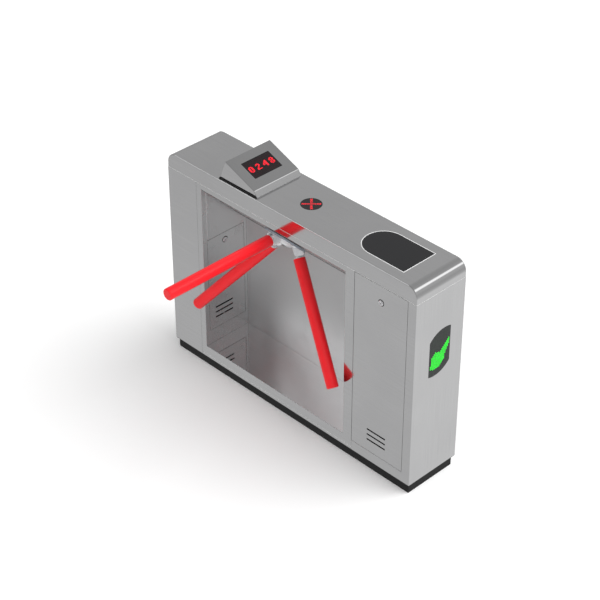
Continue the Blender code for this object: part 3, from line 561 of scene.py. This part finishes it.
def make_cover():
    fold, spare = 0.0034, 0.02
    skin = Solid(prism(cover_section(0.0, LIP_Z - spare), -HALF_D, HALF_D, ON_FRONT))
    skin.soften(fold, 4, 60)
    skin.cut(block((-1, -1, LIP_Z - 2 * spare), (1, 1, LIP_Z)))
    skin.cut(prism(cover_section(SHEET, LIP_Z - 2 * spare), SHEET - HALF_D, HALF_D - SHEET, ON_FRONT))
    near, far = DISPLAY_OPENING
    skin.cut(block((*near, CUT_LOW), (*far, CUT_HIGH)))
    round_hole = [(0, CUT_HIGH), (INDICATOR_RADIUS, CUT_HIGH), (INDICATOR_RADIUS, CUT_LOW), (0, CUT_LOW)]
    skin.cut(lathe(round_hole, 96, Matrix.Translation((INDICATOR_X, 0, 0))))
    skin.cut(prism(card_outline(0.0), CUT_LOW, CUT_HIGH))
    show("cover_shell", skin.done(30), FINISH["cabinet_steel"], "cabinet", ["top_cover"])
    # Thin strip proud of the cover's lower edge, in light satin paint: a painted highlight along the lip
    # seam.
    proud, bead_low, bead_high = 0.0004, LIP_Z + 0.0001, LIP_Z + 0.0017
    ring = [rounded((-HALF_L - grow, -HALF_D - grow), (HALF_L + grow, HALF_D + grow), fold + grow)
            for grow in (proud, -0.0010)]
    bead = Solid(prism(ring[0], bead_low, bead_high))
    bead.cut(prism(ring[1], bead_low - spare, bead_high + spare))
    bead.soften(0.0003, 2, 50)
    show("cover_lip_highlight_strip", bead.done(), HEM_PAINTED_HIGHLIGHT, "cabinet")


# ---------------------------------------------------------------- display
def face_matrix():
    """Display face: X down the slope, Y to the back, Z out of the face."""
    high, low = DISPLAY_SECTION[3], DISPLAY_SECTION[2]
    down = (Vector((low[0], 0, low[1])) - Vector((high[0], 0, high[1]))).normalized()
    back = Vector((0, 1, 0))
    out = down.cross(back)
    turn = Matrix((down, back, out)).transposed().to_4x4()
    return Matrix.Translation((high[0], 0, high[1])) @ turn


def make_display():
    face = face_matrix()
    shell = Solid(prism(DISPLAY_SECTION, -DISPLAY_HALF_DEPTH, DISPLAY_HALF_DEPTH, ON_FRONT))
    shell.soften(0.0027, 4, 25)
    shell.cut(prism(rounded((SCREEN_NEAR, -SCREEN_HALF_WIDTH), (SCREEN_FAR, SCREEN_HALF_WIDTH), 0.002),
                    -0.0040, 0.01, face))
    show("display_shell", shell.done(30), FINISH["cabinet_steel"], "cabinet",
         ["display_housing"])

    margin = 0.0004
    pane = rounded((SCREEN_NEAR + margin, margin - SCREEN_HALF_WIDTH),
                   (SCREEN_FAR - margin, SCREEN_HALF_WIDTH - margin), 0.0018)
    glass = Solid(prism(pane, -0.0024, -0.0004, face))
    glass.soften(0.0004, 2)
    show("display_glass", glass.done(), FINISH["smoked_panel"], "cabinet", ["display_window"])


DIGITS = {
    "0": ("01110", "11011", "11011", "11011", "11011", "11011", "01110"),
    "2": ("01110", "11011", "00011", "00110", "01100", "11000", "11111"),
    "4": ("00011", "00111", "01111", "11011", "11111", "00011", "00011"),
    "8": ("01110", "11011", "11011", "01110", "11011", "11011", "01110"),
}


def lamps(centres, radius, height, matrix, base):
    """Domed LED lenses in one mesh."""
    sides = 10

    def build(work):
        for x, y in centres:
            rings = []
            for part, rise in ((1.0, 0.0), (0.92, 0.55), (0.55, 0.9)):
                rings.append([
                    work.verts.new((x + radius * part * math.cos(2 * math.pi * k / sides),
                                    y + radius * part * math.sin(2 * math.pi * k / sides),
                                    base + height * rise))
                    for k in range(sides)
                ])
            top = work.verts.new((x, y, base + height))
            for first, second in zip(rings, rings[1:]):
                for k in range(sides):
                    after = (k + 1) % sides
                    work.faces.new((first[k], first[after], second[after], second[k]))
            for k in range(sides):
                work.faces.new((rings[-1][k], rings[-1][(k + 1) % sides], top))
            work.faces.new(rings[0][::-1])
    return smooth(new_bmesh(build, matrix), 60)


def make_digits():
    """Dot-matrix count on the display: four figures in a field of unlit lamps."""
    pitch_x, pitch_y = 0.0043, 0.0046
    rows, columns = 19, 31
    digit_rows, digit_columns = 7, 5
    middle_x, middle_y = (SCREEN_NEAR + SCREEN_FAR) / 2, 0.0
    text_row, starts = 6, (1, 9, 17, 25)
    on, off = [], []
    glyphs = [DIGITS[figure] for figure in "0248"]
    for row in range(rows):
        for column in range(columns):
            x = middle_x + (row - (rows - 1) / 2) * pitch_x
            y = middle_y + (column - (columns - 1) / 2) * pitch_y
            bright = False
            for start, glyph in zip(starts, glyphs):
                line, place = row - text_row, column - start
                covered = 0 <= line < digit_rows and 0 <= place < digit_columns
                if covered and glyph[line][place] == "1":
                    bright = True
            (on if bright else off).append((x, y))
    face = face_matrix()
    seat = -0.00035
    show("count_lamps_lit", lamps(on, 0.0021, 0.0004, face, seat), LED_RED, "cabinet")
    show("count_lamps_unlit", lamps(off, 0.0015, 0.0003, face, seat), LED_DARK_RED, "cabinet")


# ---------------------------------------------------------------- round indicator and card window
def make_top_windows():
    top = HEIGHT
    radius = INDICATOR_RADIUS - 0.0004
    lens = [(0, top + 0.0009), (radius * 0.6, top + 0.00085), (radius - 0.0006, top + 0.0007),
            (radius, top + 0.0001), (radius, top - 0.003), (0, top - 0.003)]
    centre = Matrix.Translation((INDICATOR_X, 0, 0))
    show("indicator_lens", smooth(lathe(lens, 96, centre)), FINISH["smoked_panel"], "cabinet",
         ["indicator_window"])
    pitch, reach, half_stroke = 0.0047, 0.0395, 0.0088
    on, off = [], []
    steps = int(reach / pitch) + 1
    for i in range(-steps, steps + 1):
        for j in range(-steps, steps + 1):
            x, y = i * pitch, j * pitch
            if math.hypot(x, y) > reach:
                continue
            crossing = abs(abs(x) - abs(y)) < half_stroke
            (on if crossing else off).append((x, y))
    show("cross_lamps_lit", lamps(on, 0.0022, 0.0004, centre, top + 0.0006), LED_RED, "cabinet")
    show("cross_lamps_unlit", lamps(off, 0.0015, 0.0003, centre, top + 0.0006), LED_DARK_RED, "cabinet")

    glass = Solid(prism(card_outline(-0.0004), top - 0.003, top + 0.0005))
    glass.soften(0.0005, 3, 50)
    show("card_glass", glass.done(), FINISH["smoked_panel"], "cabinet", ["card_window"])
    # Raised rim round the card window, painted near-white: a painted highlight.
    rim = Solid(prism(card_outline(0.0030), top - 0.0002, top + 0.0011))
    rim.cut(prism(card_outline(0.0002), top - 0.01, top + 0.01))
    rim.soften(0.0004, 3, 50)
    show("card_rim", rim.done(), TRIM_PAINTED_HIGHLIGHT, "cabinet")


# ---------------------------------------------------------------- arrow in the end
ARROW = (
    (0.0580, 0.0530), (0.0570, 0.0290), (0.0276, -0.0270), (0.0256, -0.0450), (-0.0023, -0.0720),
    (-0.0254, -0.0710), (-0.0520, -0.0650), (-0.0454, -0.0130), (-0.0239, 0.0080), (-0.0004, -0.0010),
)


def inside(point, outline):
    x, y = point
    hit = False
    for (x0, y0), (x1, y1) in zip(outline, outline[1:] + outline[:1]):
        if (y0 > y) != (y1 > y) and x < (x1 - x0) * (y - y0) / (y1 - y0) + x0:
            hit = not hit
    return hit


def make_arrow():
    centre = Matrix.Translation((HALF_L, LEAF_Y, LEAF_Z)) @ ON_END
    pitch, half_width = 0.0062, 0.0540
    steps_y, steps_z = 9, 17
    on, off = [], []
    for i in range(-steps_y, steps_y + 1):
        for j in range(-steps_z, steps_z + 1):
            y, z = i * pitch, j * pitch
            if abs(y) > half_width:
                continue
            if inside((y, z), ARROW):
                on.append((y, z))
            elif inside((y, z), leaf_outline(-0.004)):
                off.append((y, z))
    show("arrow_lamps_lit", lamps(on, 0.0027, 0.0005, centre, 0.0002), LED_GREEN, "cabinet")
    show("arrow_lamps_unlit", lamps(off, 0.0022, 0.0004, centre, 0.0002), LED_DARK_GREEN, "cabinet")


def leaf_outline(grow):
    half, short, long = 0.0585 + grow, 0.0655 + grow, 0.0975 + grow
    start, end = Vector((-half, short)), Vector((half, long))
    chord = end - start
    radius = 0.105 + grow
    rise = math.sqrt(radius ** 2 - (chord.length / 2) ** 2)
    centre = (start + end) / 2 + Vector((chord.y, -chord.x)).normalized() * rise
    first = math.degrees(math.atan2(start.y - centre.y, start.x - centre.x))
    last = math.degrees(math.atan2(end.y - centre.y, end.x - centre.x))
    top = arc(centre, radius, first, last, 24)
    return top + [(-x, -y) for x, y in top]


# ---------------------------------------------------------------- locks
def make_lock(name, place, body, plug_body, ring_node, plug_node):
    """Domed escutcheon with a recessed plug and its key slot.  Local Z points out of the door."""
    body_profile = [
        (0.0068, 0.0030), (0.0072, 0.0044), (0.0082, 0.0050), (0.0106, 0.0046), (0.0120, 0.0030),
        (0.0125, 0.0006), (0.0095, 0.0006), (0.0095, -0.0160), (0.0068, -0.0160),
    ]
    washer = [(0.0096, 0.0007), (0.0146, 0.0007), (0.0150, 0.0003), (0.0150, 0.0), (0.0096, 0.0)]
    show(name + "_washer", smooth(lathe(washer, 64, place)), FINISH["gasket_rubber"], body)
    show(name + "_escutcheon", smooth(lathe(body_profile, 64, place), 45), FINISH["lock_chrome"], body,
         [ring_node])
    plug_profile = [(0, 0.0040), (0.0058, 0.0040), (0.0065, 0.0034), (0.0065, -0.0190), (0, -0.0190)]
    plug = Solid(lathe(plug_profile, 48, place))
    plug.add(block((-0.008, -0.008, -0.0190), (0.030, 0.008, -0.0165), place))
    plug.cut(block((-0.0040, -0.0008, -0.006), (0.0040, 0.0008, 0.01), place))
    plug.cut(block((-0.0012, -0.0016, -0.006), (0.0012, 0.0016, 0.01), place))
    show(name + "_keyway", plug.done(), FINISH["lock_chrome"], plug_body, [plug_node])


def make_locks():
    front = Matrix.Translation((0.52075, -HALF_D, 0.852)) @ ON_FRONT
    make_lock("front_lock", front, "front_door", "front_lock", "front_lock_body", "front_lock_plug")
    inner = Matrix.Translation((RECESS_LEFT, -0.01375, 0.604)) @ ON_END
    make_lock("inner_lock", inner, "inner_door", "inner_lock", "inner_lock_body", "inner_lock_plug")


def make_upper_panel():
    """Fixed panel that carries the inner door's outline up to the slope."""
    to_wall = Matrix.Translation((RECESS_LEFT, 0, 0)) @ ON_END
    near, far, foot = -0.1125, 0.0940, 0.6425
    outline = [(near, foot), (far, foot), (far, SLOPE_SUM - far), (near, SLOPE_SUM - near)]
    panel = Solid(prism(outline, 0.0, 0.0016, to_wall))
    panel.soften(0.0007, 3)
    show("recess_upper_panel", panel.done(), SOFT_SHEET, "cabinet")


# ---------------------------------------------------------------- hub and arms
def arm_frame(index):
    turn = Matrix.Rotation(math.radians(ARM_STEP * index), 4, "Z")
    return HUB_AXIS @ turn @ Matrix.Rotation(-ARM_CONE, 4, "X")


def socket_screw(place, radius, height):
    """Cap screw with a hexagon socket.  Local Z points out of the head."""
    profile = [(0, height), (radius * 0.88, height), (radius, height * 0.82), (radius, 0), (0, 0)]
    head = Solid(lathe(profile, 40, place))
    across, floor = radius * 0.52, height * 0.35
    socket = [(0, height * 2), (across, height * 2), (across, floor), (0, floor)]
    head.cut(lathe(socket, 6, place))
    return head.done()


def make_disc():
    edge = 0.0012
    profile = [
        (0, DISC_HIGH), (0.060, DISC_HIGH), (0.0608, DISC_HIGH - 0.0008), (0.0622, DISC_HIGH - 0.0008),
        (0.0630, DISC_HIGH), (DISC_RADIUS - edge, DISC_HIGH),
        (DISC_RADIUS - edge * 0.3, DISC_HIGH - edge * 0.3),
        (DISC_RADIUS, DISC_HIGH - edge), (DISC_RADIUS, DISC_LOW + edge),
        (DISC_RADIUS - edge * 0.3, DISC_LOW + edge * 0.3), (DISC_RADIUS - edge, DISC_LOW), (0, DISC_LOW),
    ]
    show("hub_disc_turned", smooth(lathe(profile, 128, HUB_AXIS)), FINISH["hub_grey"], "rotor",
         ["hub_disc"])
    for index in range(ARM_COUNT):
        spoke = HUB_AXIS @ Matrix.Rotation(math.radians(ARM_STEP * (index + 0.5)), 4, "Z")
        place = spoke @ Matrix.Translation((0, 0.072, DISC_HIGH - 0.0002))
        show(f"hub_screw_{index + 1}", socket_screw(place, 0.0050, 0.0040), FINISH["machined_steel"], "rotor")


def merged(meshes):
    """Several closed shells in one mesh, for a remesh to fuse."""
    work = bmesh.new()
    for mesh in meshes:
        work.from_mesh(mesh)
    joined = bpy.data.meshes.new("shape")
    work.to_mesh(joined)
    work.free()
    return joined


def make_casting():
    low = DISC_HIGH + 0.0003
    crown = 0.0720
    inner, outer = 0.0085, 0.0200
    bore, bore_end = 0.0046, 0.0188
    out_to_pin = PIN_DISTANCE * math.sin(ARM_CONE)
    base = low - out_to_pin
    flare = [(-0.0130, 0.0080), (-0.0265, -0.0045), (-0.0290, base), (0.0215, base), (0.0265, -0.0045),
             (0.0130, 0.0080)]
    fan = [(out_to_pin + out, out_to_pin + up) for out, up in flare]
    dome = [(0, crown), (0.027, crown), (0.030, 0.0712), (0.042, 0.0645), (0.056, PAD_TOP), (0.060, low),
            (0, low)]
    pad = [(-0.0205, 0.020), (0.0205, 0.020), (0.0205, 0.080), (0.0160, 0.087), (-0.0160, 0.087),
           (-0.0205, 0.080)]
    shells = [lathe(dome, 96, HUB_AXIS)]
    for index in range(ARM_COUNT):
        spoke = HUB_AXIS @ Matrix.Rotation(math.radians(ARM_STEP * index), 4, "Z")
        shells.append(prism(pad, low, PAD_TOP, spoke))
        pin = arm_frame(index) @ Matrix.Translation((0, 0, PIN_DISTANCE)) @ ALONG_X
        for near, far in ((-outer, -inner), (inner, outer)):
            shells.append(lathe([(0, far), (EAR_RADIUS, far), (EAR_RADIUS, near), (0, near)], 48, pin))
            shells.append(prism(fan, near, far, spoke @ ON_END))
    body = Solid(merged(shells))
    body.melt(0.0008, 3)
    for index in range(ARM_COUNT):
        pin = arm_frame(index) @ Matrix.Translation((0, 0, PIN_DISTANCE)) @ ALONG_X
        body.cut(lathe([(0, inner), (SLOT_RADIUS, inner), (SLOT_RADIUS, -inner), (0, -inner)], 64, pin))
        body.cut(lathe([(0, bore_end), (bore, bore_end), (bore, -bore_end), (0, -bore_end)], 48, pin))
    show("hub_spider", body.done(60), FINISH["hub_silver"], "rotor", ["hub_casting"])
    bolt = HUB_AXIS @ Matrix.Translation((0, 0, crown - 0.0002))
    hexagon = Solid(lathe([(0, 0.006), (0.0108, 0.006), (0.0108, 0.0016), (0, 0.0016)], 6, bolt))
    hexagon.add(lathe([(0, 0.0018), (0.0132, 0.0018), (0.0140, 0.0010), (0.0140, 0), (0, 0)], 48, bolt))
    hexagon.soften(0.0004, 2)
    show("hub_bolt", hexagon.done(), FINISH["machined_steel"], "rotor")


def make_arm(index):
    number = index + 1
    body = "drop_arm" if index == 0 else "rotor"
    place = arm_frame(index)
    shift = place @ Matrix.Translation((0, 0, PIN_DISTANCE))
    pin = shift @ ALONG_X

    knuckle = Solid(lathe([
        (0, 0.070), (0.0227, 0.070), (0.0227, 0.0215), (0.0235, 0.0210), (0.0235, 0.0186), (0.0228, 0.0180),
        (0.0210, 0.0176), (0, 0.0172),
    ], 72, shift))
    knuckle.add(block((-0.0078, -0.0122, 0.0), (0.0078, 0.0122, 0.0180), shift))
    knuckle.add(lathe([(0, 0.0080), (0.0138, 0.0080), (0.0145, 0.0073), (0.0145, -0.0073), (0.0138, -0.0080),
                       (0, -0.0080)], 64, pin))
    knuckle.add(lathe([(0, 0.0180), (0.0034, 0.0180), (0.0040, 0.0174), (0.0040, -0.0174), (0.0034, -0.0180),
                       (0, -0.0180)], 32, pin))
    knuckle.soften(0.0005, 2)
    show(f"arm_{number}_fork", knuckle.done(), FINISH["hub_silver"], body,
         [f"arm_{number}_knuckle"])

    start, end, dome = ARM_ROOT, ARM_REACH, 0.0055
    profile = [(0, end), (0.0100, end - 0.0001)] + arc((ARM_RADIUS - dome, end - dome), dome, 90, 0, 8) + [
        (ARM_RADIUS, start + 0.0012), (ARM_RADIUS - 0.0004, start + 0.0004), (ARM_RADIUS - 0.0012, start),
        (0.0230, start), (0.0230, end - 0.010), (0, end - 0.010),
    ]
    show(f"arm_{number}_sleeve", smooth(lathe(profile, 96, place), 50), FINISH["arm_red"], body,
         [f"arm_{number}_tube"])


# ---------------------------------------------------------------- fixings on the back, and a painted-shade plug in the underside
def make_back_screws():
    """Pan-head screws down both seams of the removable back sheet."""
    out = Matrix.Rotation(math.radians(-90), 4, "X")
    profile = [(0, 0.0022), (0.0022, 0.0021), (0.0040, 0.0015), (0.0050, 0.0), (0, 0.0)]
    number = 0
    for x in (-0.512, 0.316):
        for z in (0.100, 0.370, 0.640, 0.890):
            number += 1
            place = Matrix.Translation((x, HALF_D, z)) @ out
            head = Solid(lathe(profile, 40, place))
            for turn in (0, 90):
                slot = place @ Matrix.Rotation(math.radians(turn + 20), 4, "Z")
                head.cut(block((-0.0026, -0.0005, 0.0012), (0.0026, 0.0005, 0.01), slot))
            show(f"back_screw_{number}", head.done(), FINISH["machined_steel"], "cabinet")


def make_gland_shade_plug():
    """Black rubber plug in the cable gland, with a shallow dish in its top: painted shade that keeps the
    floor's light out of the bore.
    """
    bore = 0.0088
    plug = [(0, 0.0290), (0.0040, 0.0290), (0.0050, 0.0305), (bore, 0.0305), (bore, 0.0040),
            (0.0060, 0.0020), (0, 0.0020)]
    place = Matrix.Translation((GLAND_X, 0, 0))
    show("cable_gland_shade_plug", smooth(lathe(plug, 48, place)), FINISH["gasket_rubber"], "cabinet")


# ---------------------------------------------------------------- surroundings
def make_surroundings():
    half, floor_z = 500.0, -0.0005
    corners = ((-half, -half), (half, -half), (half, half), (-half, half))

    def build(work):
        work.faces.new([work.verts.new((x, y, floor_z)) for x, y in corners])

    floor = bpy.data.objects.new("floor", new_bmesh(build))
    shader = Shader("floor_pale", (0.90, 0.90, 0.90), 0.0, 0.7)
    shader.set("Emission Color", (1.0, 1.0, 1.0, 1.0))
    shader.set("Emission Strength", 0.12)
    shader.set("Specular IOR Level", 0.0)
    floor.data.materials.append(shader.material)
    floor.visible_glossy = False
    bpy.context.scene.collection.objects.link(floor)
    make_world()

    for name, heading, strength, spread in (
        ("key", (-0.50, -0.42, -0.76), 2.4, 60), ("fill", (-0.45, 0.55, -0.70), 0.7, 80),
    ):
        light = bpy.data.lights.new(name, "SUN")
        light.energy = strength
        light.angle = math.radians(spread)
        lamp = bpy.data.objects.new(name, light)
        lamp.rotation_euler = Vector(heading).to_track_quat("-Z", "Y").to_euler()
        lamp.visible_glossy = False
        bpy.context.scene.collection.objects.link(lamp)


# direction, cosine at the soft edge, cosine at the full core, added brightness
SOFTBOXES = (((0.56, 0.57, 0.62), 0.978, 0.995, 2.0), ((-0.58, -0.58, 0.57), 0.955, 0.988, 2.8))
# height of a direction above the horizon (its sine), and the studio's brightness there
STUDIO = (
    (-1.0, 0.58), (-0.57, 0.72), (-0.28, 0.45), (0.0, 0.40),
    (0.25, 0.46), (0.57, 0.49), (0.81, 0.35), (1.0, 0.30),
)


def make_world():
    """Soft grey studio, a little brighter towards +X +Y."""
    world = bpy.data.worlds.new("studio")
    bpy.context.scene.world = world
    world.use_nodes = True
    tree = world.node_tree
    place = tree.nodes.new("ShaderNodeTexCoord")
    split = tree.nodes.new("ShaderNodeSeparateXYZ")
    tree.links.new(place.outputs["Generated"], split.inputs[0])
    height = tree.nodes.new("ShaderNodeMapRange")
    height.inputs["From Min"].default_value = -1.0
    tree.links.new(split.outputs["Z"], height.inputs["Value"])
    ramp = tree.nodes.new("ShaderNodeValToRGB")
    stops = ramp.color_ramp.elements
    while len(stops) < len(STUDIO):
        stops.new(0.5)
    for stop, (sine, bright) in zip(stops, STUDIO):
        stop.position = (sine + 1) / 2
        stop.color = (bright, bright, bright, 1.0)
    tree.links.new(height.outputs["Result"], ramp.inputs["Fac"])
    side = tree.nodes.new("ShaderNodeMath")
    side.operation = "ADD"
    tree.links.new(split.outputs["X"], side.inputs[0])
    tree.links.new(split.outputs["Y"], side.inputs[1])
    lean = tree.nodes.new("ShaderNodeMapRange")
    for socket, value in zip(("From Min", "From Max", "To Min", "To Max"), (-1.2, 1.2, 0.84, 1.16)):
        lean.inputs[socket].default_value = value
    tree.links.new(side.outputs[0], lean.inputs["Value"])
    bright = lean.outputs["Result"]
    for heading, edge, core, strength in SOFTBOXES:
        toward = tree.nodes.new("ShaderNodeVectorMath")
        toward.operation = "DOT_PRODUCT"
        toward.inputs[1].default_value = Vector(heading).normalized()
        tree.links.new(place.outputs["Generated"], toward.inputs[0])
        glow = tree.nodes.new("ShaderNodeMapRange")
        glow.interpolation_type = "SMOOTHSTEP"
        for socket, value in zip(("From Min", "From Max", "To Min", "To Max"), (edge, core, 0.0, strength)):
            glow.inputs[socket].default_value = value
        tree.links.new(toward.outputs["Value"], glow.inputs["Value"])
        total = tree.nodes.new("ShaderNodeMath")
        total.operation = "ADD"
        tree.links.new(bright, total.inputs[0])
        tree.links.new(glow.outputs["Result"], total.inputs[1])
        bright = total.outputs[0]
    background = tree.nodes["Background"]
    tree.links.new(ramp.outputs["Color"], background.inputs["Color"])
    tree.links.new(bright, background.inputs["Strength"])


def make_camera():
    data = bpy.data.cameras.new("camera")
    data.lens = 108.6
    data.sensor_width = 36.0
    camera = bpy.data.objects.new("camera", data)
    camera.location = (4.2878, -4.2527, 4.8179)
    aim = Vector((-0.0739, 0.0154, 0.4884)) - camera.location
    camera.rotation_euler = aim.to_track_quat("-Z", "Y").to_euler()
    bpy.context.scene.collection.objects.link(camera)
    bpy.context.scene.camera = camera


bpy.context.scene.view_settings.view_transform = "Standard"
make_camera()
make_surroundings()
dress_packed()
make_cover()
make_display()
make_digits()
make_top_windows()
make_arrow()
make_locks()
make_upper_panel()
make_disc()
make_casting()
for arm in range(ARM_COUNT):
    make_arm(arm)
make_back_screws()
make_gland_shade_plug()
